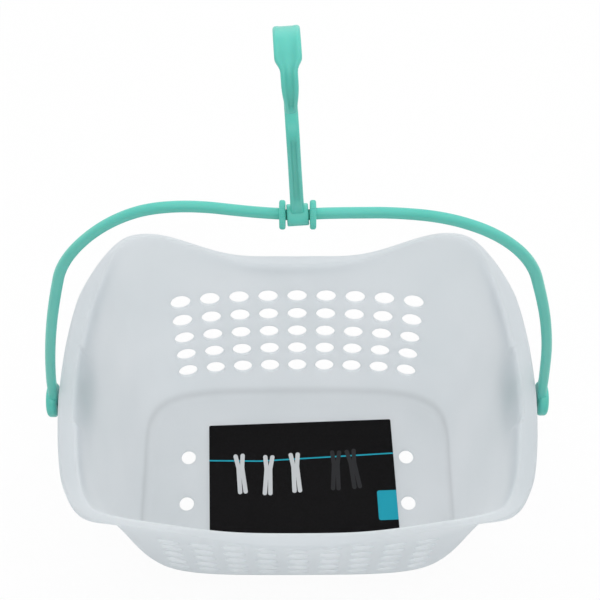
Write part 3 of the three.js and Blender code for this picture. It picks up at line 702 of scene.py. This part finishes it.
def build_hook(material):
    b = Builder()
    line = hook_line()
    along = unit_rows(np.gradient(line, axis=0))
    flat = 0 * line[:, 0]
    centres = np.stack([flat, line[:, 0], line[:, 1]], -1)
    across = np.stack([flat, along[:, 1], -along[:, 0]], -1)
    width = hook_width(line[:, 0], line[:, 1])

    # The tip's last stations draw in along a quarter circle
    turns = quarter_turn(CORNER_STEPS)[1:]
    shrink = 1 - np.cos(turns)
    centres = np.vstack([centres, [centres[-1] - (0, 0, TIP_LENGTH * math.sin(g)) for g in turns]])
    across = np.vstack([across, [across[-1]] * len(turns)])
    width = np.concatenate([width, width[-1] - TIP_NARROWS * shrink])
    thickness = np.concatenate([flat + HOOK_THICK, HOOK_THICK - TIP_THINS * shrink])
    corner = np.minimum(HOOK_CORNER, np.minimum(thickness, width) / 2 - LEAST_FLAT)
    sideways = np.tile(np.array([-1.0, 0.0, 0.0]), (len(centres), 1))

    # One groove is shallow over the crown and deeper in the front leg, the other is in the face of the stem
    y, z = centres[:, 1], centres[:, 2]
    tip = CROWN_Z - TIP_DROP
    ahead = smooth(-y, -0.6 * CROWN_RADIUS, 0.7 * CROWN_RADIUS)
    leg = np.where(y < 0, smooth(z, tip, tip + LEG_RUN_OUT), 1)
    outer_groove = mix(CROWN_GROOVE, 1, ahead) * leg * smooth(z, CROWN_Z - CROWN_RADIUS, CROWN_Z)
    outer_groove = np.where((y < 0) & (z < CROWN_Z), leg, outer_groove)
    stem_ends = [STEM + run for run in STEM_RUN_OUT]
    stem_groove = between(z, (RING_OUTER, RING_OUTER + STEM_RUN_IN), stem_ends) * (y > -1)
    grooves = np.stack([outer_groove, stem_groove], -1)
    sweep(b, centres, across, sideways, thickness, width, corner, grooves)

    # Clip ring with its mouth below, its edges rounded and its front swollen outwards
    outer, inner = RING_OUTER / 2, BAR / 2 + RING_GAP
    gap, middle = math.asin(MOUTH / 2 / outer), (outer + inner) / 2
    section = rounded_oblong(RING_WIDE / 2 - RING_ROUND, (outer - inner) / 2 - RING_ROUND, RING_ROUND, 3)
    rings = []
    for g in np.linspace(gap - math.pi / 2, 1.5 * math.pi - gap, RING_STEPS + 1):
        swell = LIP_SWELL * math.exp(-(((g - LIP_AT) / LIP_SPREAD) ** 2))
        ring = [(x, middle + r + swell * (r > 0) * (1 - (2 * x / RING_WIDE) ** 4)) for x, r in section]
        rings.append(b.add([(x, r * math.cos(g), r * math.sin(g)) for x, r in ring]))
    b.tube(rings)

    points, faces = b.arrays()
    stance = Matrix.Rotation(HOOK_YAW, 3, "Z") @ Matrix.Rotation(-HOOK_LEAN, 3, "Y")
    points = points @ np.array(stance).T + (0, 0, BAR_Z)
    return new_object("line_hook", points, faces, material)


# Card
def build_card(material):
    b = Builder()
    wide, deep = CARD_WIDE / 2, CARD_DEEP / 2
    outline = rounded_oblong(wide - CARD_CORNER, deep - CARD_CORNER, CARD_CORNER, 5)
    rings = []
    levels = ((CARD_EDGE, 0), (0, CARD_EDGE), (0, CARD_THICK - CARD_EDGE), (CARD_EDGE, CARD_THICK))
    for inset, z in levels:
        rings.append(b.add([(x * (1 - inset / wide), y * (1 - inset / deep), z) for x, y in outline]))
    b.tube(rings)
    points, faces = b.arrays()
    turn = np.array(Matrix.Rotation(CARD_TURN, 3, "Z"))
    return new_object("card", points @ turn.T + (CARD_X, CARD_Y, CARD_Z), faces, material, False)


# Materials
MILKY = ((0.82, 0.845, 0.86), (0.85, 0.87, 0.885))
THROUGH = 0.75  # share of the translucent shader in the milky plastic
FOLD_HEIGHT = 12.0
FOLD_SHADE_TONES = ((0.15, 0.965), (0.4, 0.905), (0.95, 1.0))  # shares of the fold's height, and tones of the shade painted into the fold
TURQUOISE = ((0.10, 0.54, 0.455), (0.12, 0.58, 0.495))
PLASTIC = {"IOR": 1.49, "Specular IOR Level": 0.35}
CARD_BLACK = ((0.0035, 0.0032, 0.0036), (0.006, 0.0055, 0.006))
TEAL, PALE_GREY, DARK_GREY = (0.02, 0.36, 0.47, 1), (0.6, 0.61, 0.62, 1), (0.03, 0.03, 0.032, 1)
PEG_HALF, PEG_RADIUS = ((-1.7, -13), (-1.1, 3), (-2.2, 11)), 1.35  # the middle line of a peg's left half
PALE_PEGS = ((-38, 5.5, 0.08), (-21, 4, -0.06), (-4, 5, 0.04))  # places on the card, and leans
DARK_PEGS = ((21, 5.5, -0.05), (32, 6, 0.12))
LINE, LINE_RADIUS = ((-CARD_WIDE, 17), (-26, 12.5), (CARD_WIDE, 16)), 0.45
TAB_PLACE, TAB_HALF, TAB_CORNER = (CARD_WIDE / 2 - 4.5, -19.6), (7.5, 9.6), 1.4


class Nodes:
    """A node tree, with short ways to place and wire its nodes."""

    def __init__(self, tree):
        self.tree = tree
        self.tree.nodes.clear()

    def node(self, kind, inputs=(), **settings):
        made = self.tree.nodes.new(kind)
        for key, value in settings.items():
            setattr(made, key, value)
        for key, value in dict(inputs).items():
            self.feed(made.inputs[key], value)
        return made

    def feed(self, socket, value):
        if isinstance(value, bpy.types.NodeSocket):
            self.tree.links.new(value, socket)
        else:
            socket.default_value = value

    def place(self):
        return self.node("ShaderNodeTexCoord").outputs["Object"]

    def noise(self, coordinates, scale, detail=2.0):
        inputs = {"Vector": coordinates, "Scale": scale, "Detail": detail}
        return self.node("ShaderNodeTexNoise", inputs).outputs["Fac"]

    def ramp(self, value, stops, interpolation="LINEAR"):
        """A colour by a value, from two or three pairs of a place between 0 and 1 and a colour."""
        ramp = self.node("ShaderNodeValToRGB", {"Fac": value})
        ramp.color_ramp.interpolation = interpolation
        for _ in stops[2:]:
            ramp.color_ramp.elements.new(0.5)
        for element, (place, colour) in zip(ramp.color_ramp.elements, stops):
            element.position, element.color = place, (*colour, 1)
        return ramp.outputs["Color"]

    def colours(self, value, dark, pale):
        return self.ramp(value, ((0.3, dark), (0.7, pale)))

    def spread(self, value, low, high):
        inputs = {"Value": value, "To Min": low, "To Max": high}
        return self.node("ShaderNodeMapRange", inputs).outputs["Result"]

    def math(self, operation, *values):
        return self.node("ShaderNodeMath", dict(enumerate(values)), operation=operation).outputs[0]

    def vector(self, operation, *values, output=0):
        made = self.node("ShaderNodeVectorMath", dict(enumerate(values)), operation=operation)
        return made.outputs[output]

    def blend(self, share, colour, other):
        made = self.node("ShaderNodeMix", data_type="RGBA")
        for socket, value in ((0, share), (6, colour), (7, other)):
            self.feed(made.inputs[socket], value)
        return made.outputs[2]

    def bump(self, value, strength, distance):
        inputs = {"Height": value, "Strength": strength, "Distance": distance}
        return self.node("ShaderNodeBump", inputs).outputs["Normal"]

    def both(self, share, shader, other):
        return self.node("ShaderNodeMixShader", {0: share, 1: shader, 2: other}).outputs[0]

    def seen(self):
        """One for the camera's rays, also by way of a shine or through a clear piece, and else zero."""
        path = self.node("ShaderNodeLightPath").outputs
        direct = self.math("MAXIMUM", path["Is Camera Ray"], path["Is Glossy Ray"])
        return self.math("MAXIMUM", direct, path["Is Transmission Ray"])


class Look(Nodes):
    """A material made of nodes."""

    def __init__(self, name):
        self.material = bpy.data.materials.new(name)
        self.material.use_nodes = True
        super().__init__(self.material.node_tree)

    def surface(self, shader):
        self.node("ShaderNodeOutputMaterial", {"Surface": shader})
        return self.material


def milky_plastic():
    """Cloudy white plastic, with shade painted into the fold between floor and walls that makes it a little
    darker there.
    """
    look = Look("milky_plastic")
    place = look.place()
    cloud, grain = look.noise(place, 18.0), look.noise(place, 1400.0)
    # Painted shade: the colour is darkened a little over the floor and most in the fold between floor and
    # walls, fading out at the fold's height
    height = look.node("ShaderNodeSeparateXYZ", {0: place}).outputs["Z"]
    fold = look.node("ShaderNodeMapRange", {"Value": height, "From Max": FOLD_HEIGHT * MM})
    stops = [(share, (fold_shade_tone, fold_shade_tone, fold_shade_tone)) for share, fold_shade_tone in FOLD_SHADE_TONES]
    fold_shade_tone = look.ramp(fold.outputs["Result"], stops, "EASE")
    colour = look.vector("MULTIPLY", look.colours(cloud, *MILKY), fold_shade_tone)
    body = look.node(
        "ShaderNodeBsdfPrincipled",
        {
            **PLASTIC,
            "Base Color": colour,
            "Roughness": look.spread(cloud, 0.36, 0.46),
            "Normal": look.bump(grain, 0.12, 0.0002),
        },
    )
    through = look.node("ShaderNodeBsdfTranslucent", {"Color": colour})
    return look.surface(look.both(THROUGH, body.outputs[0], through.outputs[0]))


def turquoise_plastic():
    look = Look("turquoise_plastic")
    place = look.place()
    cloud, grain = look.noise(place, 30.0), look.noise(place, 1100.0)
    body = look.node(
        "ShaderNodeBsdfPrincipled",
        {
            **PLASTIC,
            "Base Color": look.colours(cloud, *TURQUOISE),
            "Roughness": look.spread(cloud, 0.3, 0.4),
            "Subsurface Weight": 0.12,
            "Subsurface Scale": 0.002,
            "Normal": look.bump(grain, 0.1, 0.0002),
        },
    )
    return look.surface(body.outputs[0])


def card_black():
    """Black card with a plain teal tab, and five pegs on a teal line. Its places are in millimetres."""
    look = Look("card_black")
    place = look.place()
    inputs = {"Vector": place, "Location": (CARD_X * MM, CARD_Y * MM, 0), "Rotation": (0, 0, CARD_TURN)}
    on_card = look.node("ShaderNodeMapping", inputs, vector_type="TEXTURE").outputs[0]
    flat = look.vector("MULTIPLY", on_card, (1, 1, 0))

    def bar(start, end, radius):
        """One where the card lies within a radius of the line between two places."""
        start, end = Vector((*start, 0)) * MM, Vector((*end, 0)) * MM
        span = end - start
        from_start = look.vector("SUBTRACT", flat, tuple(start))
        along = look.vector("DOT_PRODUCT", from_start, tuple(span / span.length_squared), output=1)
        held = look.math("MINIMUM", look.math("MAXIMUM", along, 0.0), 1.0)
        nearest = look.node("ShaderNodeVectorMath", {0: tuple(span), 3: held}, operation="SCALE")
        away = look.vector("DISTANCE", from_start, nearest.outputs[0], output=1)
        return look.math("LESS_THAN", away, radius * MM)

    def any_of(masks):
        found = masks[0]
        for mask in masks[1:]:
            found = look.math("MAXIMUM", found, mask)
        return found

    def bars(places, radius):
        return [bar(start, end, radius) for start, end in zip(places[:-1], places[1:])]

    def peg(x, y, lean):
        turn = Matrix.Rotation(lean, 2)
        halves = []
        for side in (1, -1):
            line = [turn @ Vector((side * across, along)) + Vector((x, y)) for across, along in PEG_HALF]
            halves += bars(line, PEG_RADIUS)
        return any_of(halves)

    def block(centre, half, radius):
        """One inside an upright oblong with rounded corners."""
        inner = tuple((side - radius) * MM for side in half)
        from_centre = look.vector("SUBTRACT", flat, (centre[0] * MM, centre[1] * MM, 0))
        away = look.vector("SUBTRACT", look.vector("ABSOLUTE", from_centre), (*inner, 0))
        away = look.vector("MAXIMUM", away, (0, 0, 0))
        return look.math("LESS_THAN", look.vector("LENGTH", away, output=1), radius * MM)

    layers = (
        (any_of(bars(LINE, LINE_RADIUS)), TEAL),
        (any_of([peg(*place) for place in DARK_PEGS]), DARK_GREY),
        (any_of([peg(*place) for place in PALE_PEGS]), PALE_GREY),
        (block(TAB_PLACE, TAB_HALF, TAB_CORNER), TEAL),
    )
    fibre = look.noise(place, 900.0, 4.0)
    colour = look.colours(fibre, *CARD_BLACK)
    for mask, paint in layers:
        colour = look.blend(mask, colour, paint)
    body = look.node(
        "ShaderNodeBsdfPrincipled",
        {
            "Base Color": colour,
            "Roughness": look.spread(fibre, 0.42, 0.52),
            "Specular IOR Level": 0.06,
            "Normal": look.bump(fibre, 0.08, 0.0001),
        },
    )
    return look.surface(body.outputs[0])


milky, turquoise, black = milky_plastic(), turquoise_plastic(), card_black()

shell = build_shell(milky)
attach(shell, "basket")
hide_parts("basket_shell")

card = build_card(black)
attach(card, "basket")
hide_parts("label_card")

bail = build_bail(turquoise)
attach(bail, "bail")
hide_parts("bail_handle")

hook = build_hook(turquoise)
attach(hook, "hook")
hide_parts("hanging_hook")

# Staging
WHITE, MATT_WHITE = (1, 1, 1, 1), (0.9, 0.9, 0.9, 1)
AMBIENT = (0.15, 0.92)  # the world's strength straight ahead of the basket and straight behind it
SIDE_GLOW = 0.5  # what it gains straight to the left and the right
FLOOR_GLOW = 0.92
FLOOR_HALF, FLOOR_DROP = 6.0, 0.0004  # metres
LAMPS = (
    ("over", (0.0, 0.3, 1.7), 1.4, 4.5),
    ("front", (0.0, -0.9, 1.6), 0.9, 5.5),
    ("back", (0.0, 1.4, 0.8), 1.0, 2.5),
    ("right", (1.4, 0.3, 1.4), 1.6, 2.0),
)  # names, places, sizes in metres, watts
LAMP_TARGET = Vector((0, 0, 0.1))
FOCAL, SENSOR, PICTURE = 1268.0, 36.0, 600.0  # pixels, millimetres, pixels
DOWN, YAW, ROLL = math.radians(59.572), math.radians(0.437), math.radians(0.216)
CAMERA_PLACE = (-0.0011858, -0.3018183, 0.7356225)


def build_floor():
    """A pale plane that keeps the shadow and looks white to the camera."""
    look = Look("floor_white")
    matt = look.node("ShaderNodeBsdfDiffuse", {"Color": MATT_WHITE})
    glow = look.node("ShaderNodeEmission", {"Strength": 1.0})
    share = look.math("MULTIPLY", look.seen(), FLOOR_GLOW)
    mesh = bpy.data.meshes.new("floor")
    corners = ((-1, -1), (1, -1), (1, 1), (-1, 1))
    mesh.from_pydata([(x * FLOOR_HALF, y * FLOOR_HALF, -FLOOR_DROP) for x, y in corners], [], [(0, 1, 2, 3)])
    mesh.materials.append(look.surface(look.both(share, matt.outputs[0], glow.outputs[0])))
    made = bpy.data.objects.new("floor", mesh)
    bpy.context.scene.collection.objects.link(made)
    return made


def build_world():
    """White to the camera, and as a light stronger behind and beside the basket than in front of it."""
    world = bpy.data.worlds.new("studio")
    world.use_nodes = True
    sky = Nodes(world.node_tree)
    generated = sky.node("ShaderNodeTexCoord").outputs["Generated"]
    towards = sky.node("ShaderNodeSeparateXYZ", {0: generated}).outputs
    ahead = {"Value": towards["Y"], "From Min": -1.0, "To Min": AMBIENT[0], "To Max": AMBIENT[1]}
    shade = sky.node("ShaderNodeMapRange", ahead).outputs["Result"]
    strength = sky.math("MULTIPLY_ADD", sky.math("ABSOLUTE", towards["X"]), SIDE_GLOW, shade)
    light = sky.node("ShaderNodeBackground", {"Color": WHITE, "Strength": strength})
    plain = sky.node("ShaderNodeBackground", {"Color": WHITE, "Strength": 1.0})
    both = sky.both(sky.seen(), light.outputs[0], plain.outputs[0])
    sky.node("ShaderNodeOutputWorld", {"Surface": both})
    bpy.context.scene.world = world


def build_lamp(name, place, size, watts):
    data = bpy.data.lights.new(name, "AREA")
    data.shape, data.size, data.energy = "SQUARE", size, watts
    lamp = bpy.data.objects.new(name, data)
    lamp.location = place
    lamp.rotation_euler = (LAMP_TARGET - Vector(place)).to_track_quat("-Z", "Y").to_euler()
    bpy.context.scene.collection.objects.link(lamp)


def build_camera():
    data = bpy.data.cameras.new("camera")
    data.sensor_fit = "HORIZONTAL"
    data.sensor_width = SENSOR
    data.lens = FOCAL * SENSOR / PICTURE
    data.clip_start = 0.01
    forward = Vector((math.sin(YAW) * math.cos(DOWN), math.cos(YAW) * math.cos(DOWN), -math.sin(DOWN)))
    level = Vector((math.cos(YAW), -math.sin(YAW), 0))
    upright = level.cross(forward)
    right = math.cos(ROLL) * level + math.sin(ROLL) * upright
    up = math.cos(ROLL) * upright - math.sin(ROLL) * level
    aim = Matrix((right, up, -forward)).transposed().to_4x4()
    camera = bpy.data.objects.new("camera", data)
    camera.matrix_world = Matrix.Translation(CAMERA_PLACE) @ aim
    bpy.context.scene.collection.objects.link(camera)
    bpy.context.scene.camera = camera


floor = build_floor()
build_world()
for lamp in LAMPS:
    build_lamp(*lamp)
build_camera()
bpy.context.scene.view_settings.view_transform = "Standard"
